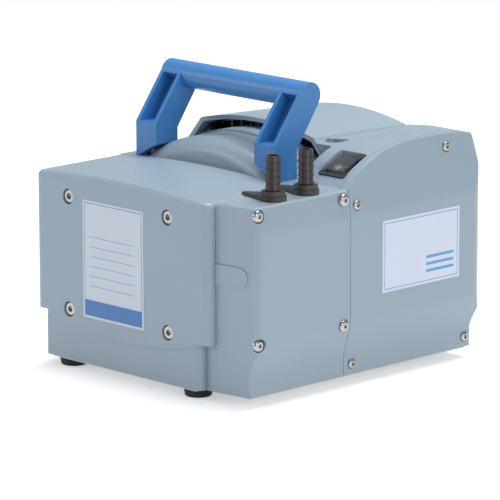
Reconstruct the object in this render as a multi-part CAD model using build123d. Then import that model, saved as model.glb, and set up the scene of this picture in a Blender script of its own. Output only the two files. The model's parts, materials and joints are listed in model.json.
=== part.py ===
"""Two-head chemistry diaphragm vacuum pump, built as separate pieces in millimetres.

Frame: +Z up, +X towards the head that carries the hose nozzles, -Y towards the front cover.
The origin is the centre of the footprint on the surface that the rubber feet stand on.
The motor shaft runs along Y. An eccentric on its front end drives two opposed rods along X.
The right head stands further out than the left one, so the pieces are drawn about the motor
shaft, and each file is written about the middle of the footprint, CENTRE_X to its right.
"""

import os
from math import cos, radians, sin, sqrt

from build123d import *

# ---------------------------------------------------------------- driving dimensions
RIGHT_X = 126.0  # right wall, from the motor shaft
LEFT_X = 85.5  # left wall, from the motor shaft
CENTRE_X = 20.3  # middle of the footprint, from the motor shaft
BODY_Y = 239.0  # overall length, front cover to rear wall
SHELL_WALL = 3.0  # moulded casing wall
SEAM = 0.4  # gap between neighbouring casing parts
FOOT_H = 6.5  # height of the rubber feet below the base plate
BASE_T = 1.5  # steel base plate
FOOT_X, FOOT_FRONT_Y, FOOT_REAR_Y = 64.0, -103.0, 98.0
SHAFT_Z = 90.0  # height of the motor axis
CRANK_Y = -62.0  # middle of the two rods
THROW = 3.0  # eccentric throw, half the diaphragm stroke

# side wall line: waist at the bottom, widest in the middle, drawn in at the top
SKIRT_DEPTH = 6.5  # how far the wall stands in at its foot
SKIRT_LOW, SKIRT_HIGH = 24.0, 46.0  # the wall swells out between these heights
SHOULDER_Z, SHOULDER_DEPTH = 122.0, 6.0  # the wall leans in above this height
WALL_BLEND = 24.0  # radius that blends those bends

# front cover
FRONT_RIGHT_X, FRONT_LEFT_X = 90.0, 85.5
FRONT_FOOT_RIGHT_X, FRONT_FOOT_LEFT_X = 80.5, 77.5
FRONT_CORNER_R = 6.5
FRONT_STEP_Z = 41.0
FRONT_CROWN_Z, FRONT_SHOULDER_Z = 144.0, 139.8
FRONT_REACH_Y = -38.0  # the cover's roof ends here
FRONT_WALL_Y = -104.0  # its side walls end here
FRONT_SCREW_X, FRONT_SCREW_LOW_Z, FRONT_SCREW_HIGH_Z = 50.5, 44.5, 125.5
COVER_SHANK_R, COVER_HEAD_H = 2.75, 4.4  # front cover screws
FRONT_EDGE_R = 4.0

# hood over the motor
HOOD_TOP_Z, HOOD_R, HOOD_HALF_X = 161.5, 123.0, 70.0
HOOD_FRONT_Y, HOOD_STEP_Y = -33.0, 2.0
DECK_T = 4.0

# head covers
HEAD_TOP_Z = 140.4
HEAD_CORNER_Y = -107.0  # outer front corner
HEAD_CORNER_R = 8.0
HEAD_FRONT_Y = -111.2  # where the front face meets the front cover
HEAD_REAR_Y = -16.8
HEAD_SCREWS = [(-103.0, 134.6), (-23.0, 134.6), (-103.0, 45.0), (-23.0, 45.8)]
HEAD_SCREW_X = {-103.0: 122.4, -23.0: 125.0}  # seat of each head: the front pair sits on the round corner
PLATE_SCREW_R = 4.4  # button head
PAD_Z, PAD_H, PAD_REACH, PAD_PROUD = 91.3, 14.0, 28.0, 0.9  # raised pad on the front face

# rear casing
COWL_FRONT_Y = 16.0
COWL_FOOT_X, COWL_FOOT_Z = 75.0, 142.0
COWL_CORNER_X, COWL_CORNER_Z = 57.0, 163.5
COWL_TOP_Z = 170.5
COWL_SCREW_SHARE, COWL_SCREW_Y = 0.28, 11.0  # place down the slanted shoulder, and behind its front edge
COWL_FALL = 3.4  # the cowl's top is this much lower at the rear
REAR_TOP_Z = 166.2
REAR_CORNER_R = 11.0
VALLEY_Z = 160.4  # the box's roof falls to this height beside the cowl
RIDGE_END_Z = 163.6  # the top's rear edge
REAR_BULGE = 8.0  # the rear wall stands in this far at its foot
REAR_LEAN = 8.5  # and this far at its top
SIDE_COVER_T = 11.0  # depth of the side lids
SIDE_SCREW_R = 3.5
LEFT_SCREWS = [(-13.0, 127.0), (98.0, 127.0), (-88.0, 20.0), (98.0, 20.0)]
LEFT_LUG_X = 82.3  # outer face of the lugs behind the left cover
LEFT_REAR_Y = 112.0
SIDE_SCREWS = [(-9.5, 129.0), (84.0, 157.0), (-8.7, 15.5), (106.0, 15.5)]

# motor and pump internals
BARREL_R, BARREL_WALL = 66.0, 8.0
BARREL_REAR_Y = 84.0
RIGHT_FACE_X, LEFT_FACE_X = 88.0, 47.0  # faces that the diaphragm rims are clamped to
CRANKCASE_Y, CRANKCASE_Z = 76.0, 84.0
BORE_R = 32.0  # rod space and diaphragm opening
ECCENTRIC_SPACE_R = 30.0  # space along the shaft for the eccentric and its counterweight
SHAFT_R = 8.5
BEARING_R, BEARING_W = 20.0, 12.0
ECCENTRIC_R, ROD_BEARING_R, ROD_EYE_R, ROD_W = 14.0, 18.0, 23.0, 10.0
DIAPHRAGM_R, DIAPHRAGM_T = 37.0, 2.5
SUPPORT_R, CLAMP_R = 24.0, 22.0
HEAD_T = 28.0  # head housing thickness along X
LUG_R = 4.2  # lugs on the head housing that take the cover's screws
NOZZLE_X, NOZZLE_YS = 111.0, (-76.6, -45.2)
PORT_R = 3.5
NOZZLE_BORE_R = 3.2
FLANGE_R, FLANGE_H, TAIL_REACH = 9.2, 3.4, 29.0  # nozzle flange, thickness and tail
STEM_Z = 147.2  # the barbs start here
BARB_R, BARB_PITCH, BARBS = 5.6, 4.85, 5
VALVE_R, VALVE_T, VALVE_LIFT = 8.0, 1.0, 0.8
RUN = 0.05  # running clearance on a radius
STUD_R, STUD_DEPTH = 4.0, 10.0  # clamping disc's stud
HEAD_BOLT_R = 2.7
CHAMBER_T = 8.0  # depth of the pump chamber
PORT_REACH = 23.0  # from the diaphragm's rim to the upright ports
SPIGOT_R = 6.0  # nozzle spigot

# handle
HANDLE_OUT_X, HANDLE_IN_X = 71.0, 50.0
HANDLE_FRONT_Y, HANDLE_BACK_Y = -35.0, -14.0
HANDLE_BASE_Z, HANDLE_KNEE_Z = HEAD_TOP_Z, 166.0
BAR_Y, BAR_Z, BAR_R = -0.5, 197.3, 9.6
WEB_T = 3.2

# switch
SWITCH_X, SWITCH_Y, SWITCH_Z = 100.0, 2.7, 150.0
SWITCH_SLOPE = 21.0  # degrees
ROCKER_PIN_R, ROCKER_DROP = 1.6, -3.0  # the rocker tilts on this pin, this far below the rim
SWITCH_W, SWITCH_L = 21.0, 23.0
INLET_X, INLET_Z = 94.0, 60.0

HALF_X, HALF_Y = RIGHT_X, BODY_Y / 2
CASE_Z = FOOT_H + BASE_T  # the casing starts on the base plate
CRANKCASE_FRONT = CRANK_Y - CRANKCASE_Y / 2
CRANKCASE_REAR = CRANK_Y + CRANKCASE_Y / 2
CRANKCASE_LOW, CRANKCASE_HIGH = SHAFT_Z - CRANKCASE_Z / 2, SHAFT_Z + CRANKCASE_Z / 2
HEAD_X1 = RIGHT_FACE_X + DIAPHRAGM_T + HEAD_T  # outer face of the right head housing

OUT = "parts"
os.makedirs(OUT, exist_ok=True)


# ---------------------------------------------------------------- small helpers
def box(x0, x1, y0, y1, z0, z1):
    """A box from its limits along each axis."""
    centre = ((x0 + x1) / 2, (y0 + y1) / 2, (z0 + z1) / 2)
    return Pos(*centre) * Box(x1 - x0, y1 - y0, z1 - z0)


def rod_x(radius, x0, x1, y, z):
    """A round bar along X."""
    return Pos((x0 + x1) / 2, y, z) * Rot(0, 90, 0) * Cylinder(radius, x1 - x0)


def rod_y(radius, y0, y1, x=0.0, z=SHAFT_Z):
    """A round bar along Y."""
    return Pos(x, (y0 + y1) / 2, z) * Rot(90, 0, 0) * Cylinder(radius, y1 - y0)


def rod_z(radius, z0, z1, x, y):
    """A round bar along Z."""
    return Pos(x, y, (z0 + z1) / 2) * Cylinder(radius, z1 - z0)


def along_x(points, x0, x1):
    """A (y, z) outline extruded from x0 to x1."""
    outline = Plane.YZ.offset(x0) * make_face(Polyline(*points, close=True))
    return extrude(outline, x1 - x0, dir=(1, 0, 0))


def mirrored(shape):
    """The same piece on the other side of the pump."""
    return mirror(shape, about=Plane.YZ)


def same(shape):
    """The piece as it is drawn, for the right side."""
    return shape


def write(name, *pieces):
    """Writes one node's solids to its STEP file."""
    solids = [s for piece in pieces for s in piece.solids()]
    solids = [Pos(-CENTRE_X, 0, 0) * solid for solid in solids]
    node = solids[0] if len(solids) == 1 else Compound(children=solids)
    node.label = name
    export_step(node, os.path.join(OUT, name + ".step"))


# ---------------------------------------------------------------- casing envelopes
def side_envelope(inset=0.0):
    """The casing's cross-section in X and Z, as long as the pump: narrow foot, wide waist, leaning shoulder."""
    half = HALF_X - inset
    top = REAR_TOP_Z + 20
    right = [
        (half - SKIRT_DEPTH, CASE_Z - 1),
        (half - SKIRT_DEPTH, SKIRT_LOW),
        (half, SKIRT_HIGH),
        (half, SHOULDER_Z),
        (half - SHOULDER_DEPTH, REAR_TOP_Z),
        (half - SHOULDER_DEPTH, top),
    ]
    points = right + [(-x, z) for x, z in reversed(right)]
    sketch = make_face(Polyline(*points, close=True))
    bends = [v for v in sketch.vertices() if SKIRT_LOW - 1 < v.Y < SHOULDER_Z + 1]
    sketch = fillet(bends, WALL_BLEND)
    outline = Plane.XZ.offset(HALF_Y + 1) * sketch
    return extrude(outline, BODY_Y + 2, dir=(0, 1, 0))


def rear_profile(inset=0.0):
    """Outline of the rear casing in Y and Z: a bowed top rising from the front, and a swelling rear wall."""
    low = CASE_Z + (inset and -1)
    front = HEAD_REAR_Y + SEAM + inset
    back = HALF_Y - inset
    top = REAR_TOP_Z - inset
    start_z = HEAD_TOP_Z - inset
    bow = ThreePointArc((front, start_z), (12 + inset / 2, 158.6 - inset), (44, top - 0.6))
    rear_z = RIDGE_END_Z - inset
    ridge = ThreePointArc((44, top - 0.6), (76, top), (back - REAR_LEAN, rear_z))
    shoulder = Line((back - REAR_LEAN, rear_z), (back, SHOULDER_Z))
    wall = Line((back, SHOULDER_Z), (back, SKIRT_HIGH))
    tuck = Line((back, SKIRT_HIGH), (back - REAR_BULGE, SKIRT_LOW))
    drop = Line((back - REAR_BULGE, SKIRT_LOW), (back - REAR_BULGE, low))
    floor = Line((back - REAR_BULGE, low), (front, low))
    rise = Line((front, low), (front, start_z))
    sketch = make_face([bow, ridge, shoulder, wall, tuck, drop, floor, rise])
    bends = [v for v in sketch.vertices() if v.X > back - REAR_BULGE - 1 and SKIRT_LOW - 1 < v.Y < SHOULDER_Z + 1]
    sketch = fillet(bends, WALL_BLEND)
    rear_edge = sketch.vertices().sort_by_distance((back - REAR_LEAN, rear_z))[0]
    return fillet(rear_edge, 5.0 - inset)


def rear_plan(inset=0.0):
    """A tall block with the rear casing's rounded rear corners."""
    half, back = HALF_X - inset, HALF_Y - inset
    outline = make_face(Polyline((-half, -HALF_Y), (half, -HALF_Y), (half, back), (-half, back), close=True))
    corners = [v for v in outline.vertices() if v.Y > 0]
    return extrude(fillet(corners, REAR_CORNER_R - inset), 300, dir=(0, 0, 1))


def rear_envelope(inset=0.0):
    """The rear casing as one solid, with no seams."""
    outline = Plane.YZ.offset(-HALF_X - 1) * rear_profile(inset)
    return extrude(outline, 2 * HALF_X + 2, dir=(1, 0, 0)) & side_envelope(inset) & rear_plan(inset)


def cowl_section(inset=0.0, fall=0.0):
    """The cowl's arch in X and Z: upright sides, slanted shoulders and a bowed top, sunk by a fall."""
    foot_x, corner_x = COWL_FOOT_X - inset, COWL_CORNER_X - inset * 0.7 - fall
    foot_z, corner_z = COWL_FOOT_Z - inset * 0.4 - fall, COWL_CORNER_Z - inset - fall
    low = CASE_Z - (1 if inset else 0)
    arch = ThreePointArc((-corner_x, corner_z), (0, COWL_TOP_Z - inset - fall), (corner_x, corner_z))
    right = Polyline((corner_x, corner_z), (foot_x, foot_z), (foot_x, low))
    left = Polyline((-foot_x, low), (-foot_x, foot_z), (-corner_x, corner_z))
    floor = Line((foot_x, low), (-foot_x, low))
    return make_face([arch, right, floor, left])


def cowl_prism(y0, y1, inset=0.0):
    """The cowl's arch from y0 to y1. It falls a little towards the rear."""
    slope = COWL_FALL / (HALF_Y - COWL_FRONT_Y)
    ends = [Plane.XZ.offset(-y) * cowl_section(inset, slope * (y - COWL_FRONT_Y)) for y in (y0, y1)]
    return loft(ends, ruled=True)


# ---------------------------------------------------------------- front cover
def front_block(inset=0.0):
    """The front cover's outer form: crowned roof, wider upper body, narrower foot, rounded corners."""
    right, left = FRONT_RIGHT_X - inset, FRONT_LEFT_X - inset
    foot_right, foot_left = FRONT_FOOT_RIGHT_X - inset, FRONT_FOOT_LEFT_X - inset
    low = CASE_Z - (1 if inset else 0)
    crown, edge = FRONT_CROWN_Z - inset, FRONT_SHOULDER_Z - inset
    step = FRONT_STEP_Z + inset
    roof = ThreePointArc((-left, edge), (0, crown), (right, edge))
    right_side = Polyline((right, edge), (right, step), (foot_right, step), (foot_right, low))
    left_side = Polyline((-foot_left, low), (-foot_left, step), (-left, step), (-left, edge))
    floor = Line((foot_right, low), (-foot_left, low))
    section = make_face([roof, right_side, floor, left_side])
    front = -HALF_Y + inset
    body = extrude(Plane.XZ.offset(-front) * section, FRONT_REACH_Y - front, dir=(0, 1, 0))
    uprights = [e for e in body.edges().filter_by(Axis.Z) if e.center().Y < front + 0.1]
    return fillet(uprights, max(FRONT_CORNER_R - inset, 1.0))


def front_cover():
    """Moulded front cover with its nameplate face, screw wells and screw bosses."""
    body = front_block()
    roof_edges = [e for e in body.edges() if e.center().Z > FRONT_SHOULDER_Z - 0.5]
    body = fillet([e for e in roof_edges if e.center().Y < FRONT_REACH_Y - 0.5], FRONT_EDGE_R)
    # the foot of the face stands 1.5 mm back, below a shallow arc
    arc_r = 330.0
    arc_low_z = 29.5
    recess = box(-FRONT_LEFT_X, FRONT_RIGHT_X, -HALF_Y - 1, -HALF_Y + 1.2, CASE_Z - 1, 60)
    recess -= rod_y(arc_r, -HALF_Y - 2, -HALF_Y + 2, 0, arc_low_z + arc_r)
    body -= recess
    cavity = front_block(SHELL_WALL) & box(
        -HALF_X, HALF_X, -HALF_Y + SHELL_WALL + 1.5, 0, 0, 200
    )
    body -= cavity
    body -= box(-HALF_X, HALF_X, FRONT_WALL_Y, 0, 0, FRONT_SHOULDER_Z - SHELL_WALL - 2)
    well_r, well_depth = 5.5, 4.0
    for x in (-FRONT_SCREW_X, FRONT_SCREW_X):
        for z in (FRONT_SCREW_LOW_Z, FRONT_SCREW_HIGH_Z):
            body += rod_y(8.0, -HALF_Y + SHELL_WALL, FRONT_WALL_Y, x, z)
            body -= rod_y(well_r, -HALF_Y - 1, -HALF_Y + well_depth + 1.5, x, z)
            body -= rod_y(3.0, -HALF_Y, 0, x, z)
    return body


def cap_screw_y(x, y_head, z, length, head_r=4.6, head_h=COVER_HEAD_H, shank_r=COVER_SHANK_R):
    """A socket head screw that points into the pump along +Y."""
    screw = rod_y(head_r, y_head, y_head + head_h, x, z)
    screw = fillet(screw.faces().sort_by(Axis.Y)[0].edges(), 0.5)
    screw += rod_y(shank_r, y_head + head_h, y_head + head_h + length, x, z)
    socket = Plane(origin=(x, y_head, z), z_dir=(0, -1, 0)) * RegularPolygon(2.5, 6)
    return screw - extrude(socket, -2.6)


def front_cover_screws():
    """The four socket head screws of the front cover, sunk in their wells."""
    head_y = -HALF_Y + 1.1
    length = CRANKCASE_FRONT - 0.7 - (head_y + COVER_HEAD_H)
    return [
        cap_screw_y(x, head_y, z, length)
        for x in (-FRONT_SCREW_X, FRONT_SCREW_X)
        for z in (FRONT_SCREW_LOW_Z, FRONT_SCREW_HIGH_Z)
    ]


# ---------------------------------------------------------------- head covers
def head_plan(inset=0.0):
    """A head cover's outline in X and Y, with its front face slightly turned."""
    inner = FRONT_RIGHT_X + SEAM
    front = HEAD_FRONT_Y + inset
    corner = HEAD_CORNER_Y + inset
    rear = HEAD_REAR_Y - inset
    outer = HALF_X - inset
    points = [(inner - inset, front), (outer, corner), (outer, rear), (inner - inset, rear)]
    outline = make_face(Polyline(*points, close=True))
    front_corner = outline.vertices().sort_by_distance((outer, corner))[0]
    return fillet(front_corner, HEAD_CORNER_R - inset)


def head_solid(inset=0.0):
    """A head cover's outer form, or its cavity when inset."""
    low = CASE_Z - (1 if inset else 0)
    block = extrude(Plane.XY.offset(low) * head_plan(inset), HEAD_TOP_Z - inset - low)
    foot_x = FRONT_FOOT_RIGHT_X + SEAM - inset
    foot_top = FRONT_STEP_Z - SEAM - inset
    block += box(foot_x, FRONT_RIGHT_X + SEAM + 1, HEAD_FRONT_Y + inset, FRONT_WALL_Y - inset, low, foot_top)
    return block & side_envelope(inset)


def button_screw_x(x_face, y, z, length=12.0, head_r=PLATE_SCREW_R):
    """A button head screw whose head stands on a face that looks along +X."""
    head_h = head_r * 0.6
    head = rod_x(head_r, x_face, x_face + head_h, y, z)
    head = fillet(head.faces().sort_by(Axis.X)[-1].edges(), head_h * 0.8)
    screw = head + rod_x(head_r * 0.5, x_face - length, x_face, y, z)
    socket = Plane(origin=(x_face + head_h, y, z), z_dir=(1, 0, 0)) * RegularPolygon(1.7, 6)
    return screw - extrude(socket, -1.5)


def head_cover():
    """Moulded cover over the right pump head, open below and towards the crankcase."""
    body = head_solid()
    top = [e for e in body.edges() if abs(e.center().Z - HEAD_TOP_Z) < 0.01]
    top = [e for e in top if e.center().X > FRONT_RIGHT_X + 2 and e.center().Y < HEAD_REAR_Y - 1]
    body = fillet(top, 2.2)
    body -= head_solid(SHELL_WALL)
    # the pump head's four screws pull the cover on through inner posts
    for y, z in HEAD_SCREWS:
        body += rod_x(6.0, HEAD_X1 + SEAM, HALF_X - SHELL_WALL, y, z) & head_solid(1.0)
        body -= rod_x(PLATE_SCREW_R * 0.5, 0, HALF_X + 5, y, z)
        body -= rod_x(PLATE_SCREW_R + 0.4, HEAD_SCREW_X[y], HALF_X + 5, y, z)
    # raised pad on the turned front face
    run, rise = HALF_X - FRONT_RIGHT_X - SEAM, HEAD_CORNER_Y - HEAD_FRONT_Y
    origin = (FRONT_RIGHT_X + SEAM, HEAD_FRONT_Y, PAD_Z)
    turned = Plane(origin=origin, x_dir=(run, rise, 0), z_dir=(rise, -run, 0))
    pad = extrude(turned * SlotOverall(2 * PAD_REACH, PAD_H), PAD_PROUD, both=True)
    return body + (pad & box(FRONT_RIGHT_X + SEAM, HALF_X, -130, -100, 0, 150))


def right_head_cover():
    """The head cover on the nozzle side, with holes for the two nozzles."""
    body = head_cover()
    for y in NOZZLE_YS:
        body -= rod_z(6.0 + 0.3, HEAD_TOP_Z - 10, HEAD_TOP_Z + 5, NOZZLE_X, y)
    return body


def head_cover_screws():
    """Four button head screws of one head cover."""
    seats = [(HEAD_SCREW_X[y], y, z) for y, z in HEAD_SCREWS]
    return [button_screw_x(x, y, z, x - HEAD_X1 + 6, PLATE_SCREW_R) for x, y, z in seats]


# ---------------------------------------------------------------- rear casing
def under_valley(inset=0.0):
    """All the room under a roof that falls towards the cowl."""
    low_x, high_x, high_z = COWL_CORNER_X - 1, HALF_X - 18, REAR_TOP_Z + 0.3 - inset
    slant = [(low_x, 0), (low_x, VALLEY_Z - inset), (high_x, high_z), (HALF_X, high_z), (HALF_X, 0)]
    section = Plane.XZ.offset(-HALF_Y) * make_face(Polyline(*slant, close=True))
    return extrude(section, 2 * HALF_Y, dir=(0, -1, 0))


def side_box():
    """The right rear box between the cowl and the side lid. It holds the electrics."""
    inner = COWL_FOOT_X + SEAM
    body = rear_envelope() & box(inner, HALF_X - SIDE_COVER_T, -HALF_Y, HALF_Y, 0, 200)
    wing = rear_envelope() & box(COWL_CORNER_X + 1.5, inner, COWL_FRONT_Y, HALF_Y, COWL_FOOT_Z, 200)
    body += wing - cowl_prism(0, HALF_Y + 1, -SEAM)
    body = body & under_valley()
    hollow = rear_envelope(SHELL_WALL) & under_valley(SHELL_WALL)
    body -= hollow & box(inner + SHELL_WALL, HALF_X, -HALF_Y, HALF_Y, 0, 200)
    deep = HALF_X - SIDE_COVER_T - 14
    for y, z in SIDE_SCREWS:
        post = rod_x(6.0, deep, HALF_X - SIDE_COVER_T, y, z)
        post += box(deep, HALF_X - SIDE_COVER_T, y - 2, y + 2, z, z + (12 if z > SHAFT_Z else 0.5))
        body += post & rear_envelope(0.5)
        body -= rod_x(SIDE_SCREW_R * 0.5, deep + 1, HALF_X, y, z)
    return body - cowl_screw_tool(1, 7.5, -1, 40)


def side_lid():
    """The right side lid that closes the rear box."""
    body = rear_envelope() & box(HALF_X - SIDE_COVER_T + SEAM, HALF_X + 1, -HALF_Y, HALF_Y, 0, 200)
    body -= rear_envelope(SHELL_WALL)
    for y, z in SIDE_SCREWS:
        face = side_wall_x(z) - 0.6
        post = rod_x(6.0, HALF_X - SIDE_COVER_T + SEAM, face, y, z)
        body += post & rear_envelope(0.5)
        body -= rod_x(SIDE_SCREW_R * 0.5, 0, HALF_X + 5, y, z)
        body -= rod_x(SIDE_SCREW_R + 0.4, face, HALF_X + 5, y, z)
    return body


def left_cover():
    """The plain left cover: a long wall with a ledge along the deck and the cowl."""
    x0, wall_x, ledge_x = -LEFT_X, -LEFT_X + SHELL_WALL, -COWL_FOOT_X - SEAM
    y0, ledge_y0, y1 = FRONT_WALL_Y + SEAM, FRONT_REACH_Y + SEAM, LEFT_REAR_Y
    low_top = FRONT_SHOULDER_Z - SHELL_WALL - 2 - SEAM
    body = box(x0, wall_x, y0, y1, CASE_Z, low_top)
    body += box(x0, ledge_x, ledge_y0, y1, low_top - 1, HEAD_TOP_Z)
    body += box(x0, ledge_x, y1 - SHELL_WALL, y1, CASE_Z, HEAD_TOP_Z)
    body -= box(wall_x, ledge_x + 1, ledge_y0 + SHELL_WALL, y1 - SHELL_WALL, low_top - 2, HEAD_TOP_Z - SHELL_WALL)
    corner = [e for e in body.edges().filter_by(Axis.Z) if e.center().Y > y1 - 0.1 and e.center().X < x0 + 0.1]
    body = fillet(corner, 5.0)
    top = [e for e in body.edges() if e.center().X < x0 + 2.5 and e.center().Z > HEAD_TOP_Z - 0.1]
    body = fillet(top, 2.0)
    for y, z in LEFT_SCREWS:
        body -= rod_x(SIDE_SCREW_R * 0.5, x0 - 1, wall_x + 1, y, z)
        body -= rod_x(SIDE_SCREW_R + 0.4, x0 - 1, x0 + 0.6, y, z)
    return body


def left_cover_screws():
    """Four button head screws of the left cover."""
    seat = LEFT_X - 0.6
    return [mirrored(button_screw_x(seat, y, z, 7.0, SIDE_SCREW_R)) for y, z in LEFT_SCREWS]


def side_wall_x(z):
    """Where the casing's side wall is at a height, before its bends are blended."""
    if z < SKIRT_LOW:
        return HALF_X - SKIRT_DEPTH
    if z < SHOULDER_Z:
        return HALF_X
    share = (z - SHOULDER_Z) / (REAR_TOP_Z - SHOULDER_Z)
    return HALF_X - SHOULDER_DEPTH * min(share, 1.0)


def side_lid_screws():
    """Four button head screws of one side lid."""
    return [button_screw_x(side_wall_x(z) - 0.6, y, z, 15.0, SIDE_SCREW_R) for y, z in SIDE_SCREWS]


def cowl():
    """Fan cowl: an arched shell, open at the front, with air slots in its rear wall."""
    outer = cowl_prism(COWL_FRONT_Y, HALF_Y + 1)
    limit = extrude(Plane.YZ.offset(-HALF_X) * rear_limit(0.0), 2 * HALF_X, dir=(1, 0, 0))
    inner_limit = extrude(Plane.YZ.offset(-HALF_X) * rear_limit(SHELL_WALL), 2 * HALF_X, dir=(1, 0, 0))
    body = (outer & limit) - (cowl_prism(COWL_FRONT_Y - 1, HALF_Y, SHELL_WALL) & inner_limit)
    slot_w, slot_pitch, field_r = 4.0, 9.0, 58.0
    count = int(field_r // slot_pitch)
    for i in range(-count, count + 1):
        offset = i * slot_pitch
        half_len = sqrt(field_r**2 - offset**2)
        if half_len < 8:
            continue
        for sign in (-1, 1):
            low, high = sorted((SHAFT_Z + sign * 3, SHAFT_Z + sign * half_len))
            body -= box(offset - slot_w / 2, offset + slot_w / 2, HALF_Y - 12, HALF_Y + 2, low, high)
    lug_y, lug_z = LEFT_SCREWS[1]
    body += box(-LEFT_LUG_X, -COWL_FOOT_X + 1, lug_y - 6, lug_y + 6, lug_z - 6, lug_z + 6)
    body -= rod_x(SIDE_SCREW_R * 0.5, -LEFT_LUG_X - 1, -COWL_FOOT_X + 1, lug_y, lug_z)
    for sx in (-1, 1):
        body -= cowl_screw_tool(sx, 2.2, -20, 20)
    return body


def rear_limit(inset):
    """Outline in Y and Z that gives the cowl the same rear line as the boxes."""
    back = HALF_Y - inset
    points = [
        (COWL_FRONT_Y - 2, CASE_Z - (1 if inset else 0)),
        (back - REAR_BULGE, CASE_Z - (1 if inset else 0)),
        (back - REAR_BULGE, SKIRT_LOW),
        (back, SKIRT_HIGH),
        (back, SHOULDER_Z),
        (back - REAR_LEAN, COWL_TOP_Z - inset),
        (COWL_FRONT_Y - 2, COWL_TOP_Z + 2),
    ]
    sketch = make_face(Polyline(*points, close=True))
    bends = [v for v in sketch.vertices() if v.X > back - REAR_BULGE - 1 and SKIRT_LOW - 1 < v.Y < SHOULDER_Z + 1]
    return fillet(bends, WALL_BLEND)


def cowl_screw_tool(sx, radius, low, high):
    """A bar square to the cowl's slanted shoulder, at the screw's place."""
    run, rise = COWL_FOOT_X - COWL_CORNER_X, COWL_CORNER_Z - COWL_FOOT_Z
    length = sqrt(run**2 + rise**2)
    normal = (sx * rise / length, 0, run / length)
    place_x = COWL_CORNER_X + run * COWL_SCREW_SHARE
    place_z = COWL_CORNER_Z - rise * COWL_SCREW_SHARE
    plane = Plane(origin=(sx * place_x, COWL_FRONT_Y + COWL_SCREW_Y, place_z), z_dir=normal)
    return extrude(plane.offset(low) * Circle(radius), high - low)


def cowl_screws():
    """The two screws in the cowl's slanted shoulders."""
    return [cowl_screw_tool(sx, 4.2, 0, 2.4) + cowl_screw_tool(sx, 2.2, -9, 0) for sx in (-1, 1)]


def air_grille():
    """Finger guard between the motor barrel and the cowl's front edge: a frame with upright bars."""
    y0, y1 = COWL_FRONT_Y + 14.5, COWL_FRONT_Y + 17.5
    opening = cowl_prism(y0, y1, SHELL_WALL + 0.3)
    opening -= rod_y(BARREL_R + 0.3, y0 - 1, y1 + 1)
    opening = opening & box(-HALF_X, HALF_X, y0, y1, SHAFT_Z + 20, 200)
    bars = None
    frame = opening - cowl_prism(y0 - 1, y1 + 1, SHELL_WALL + 1.8)
    count, pitch, half_w = 6, 10.0, 0.8
    for i in range(-count, count + 1):
        bar = box(i * pitch - half_w, i * pitch + half_w, y0, y1, SHAFT_Z + 15, 200) & opening
        bars = bar if bars is None else bars + bar
    sleeve = (rod_y(BARREL_R + 2.0, y0, y1) - rod_y(BARREL_R + 0.3, y0 - 1, y1 + 1)) & opening
    guard = frame + bars + sleeve
    for sx in (-1, 1):
        guard += cowl_screw_tool(sx, 5.0, -9, -SHELL_WALL - 1.6)
        guard -= cowl_screw_tool(sx, 2.2, -10, 0)
    return guard


# ---------------------------------------------------------------- hood, barrel, base
def hood_form(y0, y1, grow=0.0):
    """The hood's arched form from y0 to y1, grown outwards by a distance."""
    half, top, low = HOOD_HALF_X + grow, HOOD_TOP_Z + grow, HEAD_TOP_Z - DECK_T
    shoulder = top - HOOD_R + sqrt(HOOD_R**2 - half**2)
    arch = ThreePointArc((-half, shoulder), (0, top), (half, shoulder))
    sides = Polyline((half, shoulder), (half, low), (-half, low), (-half, shoulder))
    return extrude(Plane.XZ.offset(-y0) * make_face([arch, sides]), y1 - y0, dir=(0, 1, 0))


def motor_hood():
    """Moulded hood over the motor with the flat deck around it. Its front end is well rounded."""
    y0, step_y, y1 = HOOD_FRONT_Y, HOOD_STEP_Y, COWL_FRONT_Y + 5.0
    body = hood_form(y0, y1)
    arch = [e for e in body.faces().sort_by(Axis.Y)[0].edges() if e.geom_type == GeomType.CIRCLE]
    body = fillet(arch, 12.0)
    body += hood_form(step_y, y1, 1.4)
    z0, z1 = HEAD_TOP_Z - DECK_T, HEAD_TOP_Z
    body += box(-COWL_FOOT_X, FRONT_RIGHT_X, FRONT_REACH_Y + SEAM, HEAD_REAR_Y, z0, z1)
    lug_y, lug_z = LEFT_SCREWS[0]
    body += box(-LEFT_LUG_X, -COWL_FOOT_X + 4, lug_y - 6, lug_y + 6, lug_z - 6, z0 + 0.5)
    body -= rod_x(SIDE_SCREW_R * 0.5, -LEFT_LUG_X - 1, -COWL_FOOT_X + 1, lug_y, lug_z)
    body += box(-COWL_FOOT_X, COWL_FOOT_X, HEAD_REAR_Y, COWL_FRONT_Y - SEAM, z0, z1)
    inner = hood_form(y0 + 8.0, y1 + 1, -SHELL_WALL)
    body -= inner + Pos(0, 0, -5) * inner
    for side in (-1, 1):
        x, y = handle_screw_place(side)
        body -= rod_z(2.75, z0 - 1, z1 + 20, x, y)
    return body


def motor_barrel():
    """The motor's cast barrel, with the middle bearing's seat in its front wall."""
    front = CRANKCASE_REAR + 0.3
    body = rod_y(BARREL_R, front, BARREL_REAR_Y)
    body -= rod_y(BARREL_R - BARREL_WALL, front + BEARING_W + 3, BARREL_REAR_Y + 1)
    return body - rod_y(BEARING_R, front - 1, front + BEARING_W + 4)


def stator():
    """Laminated stator ring with its slots."""
    y0, y1 = 6.0, 66.0
    body = rod_y(BARREL_R - BARREL_WALL, y0, y1) - rod_y(36.0, y0 - 1, y1 + 1)
    slots = 12
    for i in range(slots):
        slot = box(-2.5, 2.5, y0 - 1, y1 + 1, 40.0, 51.0)
        body -= Pos(0, 0, SHAFT_Z) * Rot(0, i * 360 / slots, 0) * slot
    return body


def windings():
    """Winding heads that stand out of both ends of the stator."""
    rings = []
    for y0, y1 in ((-4.0, 5.8), (66.2, 76.0)):
        ring = rod_y(52.0, y0, y1) - rod_y(40.0, y0 - 1, y1 + 1)
        rings.append(fillet(ring.edges(), 3.0))
    return rings


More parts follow.
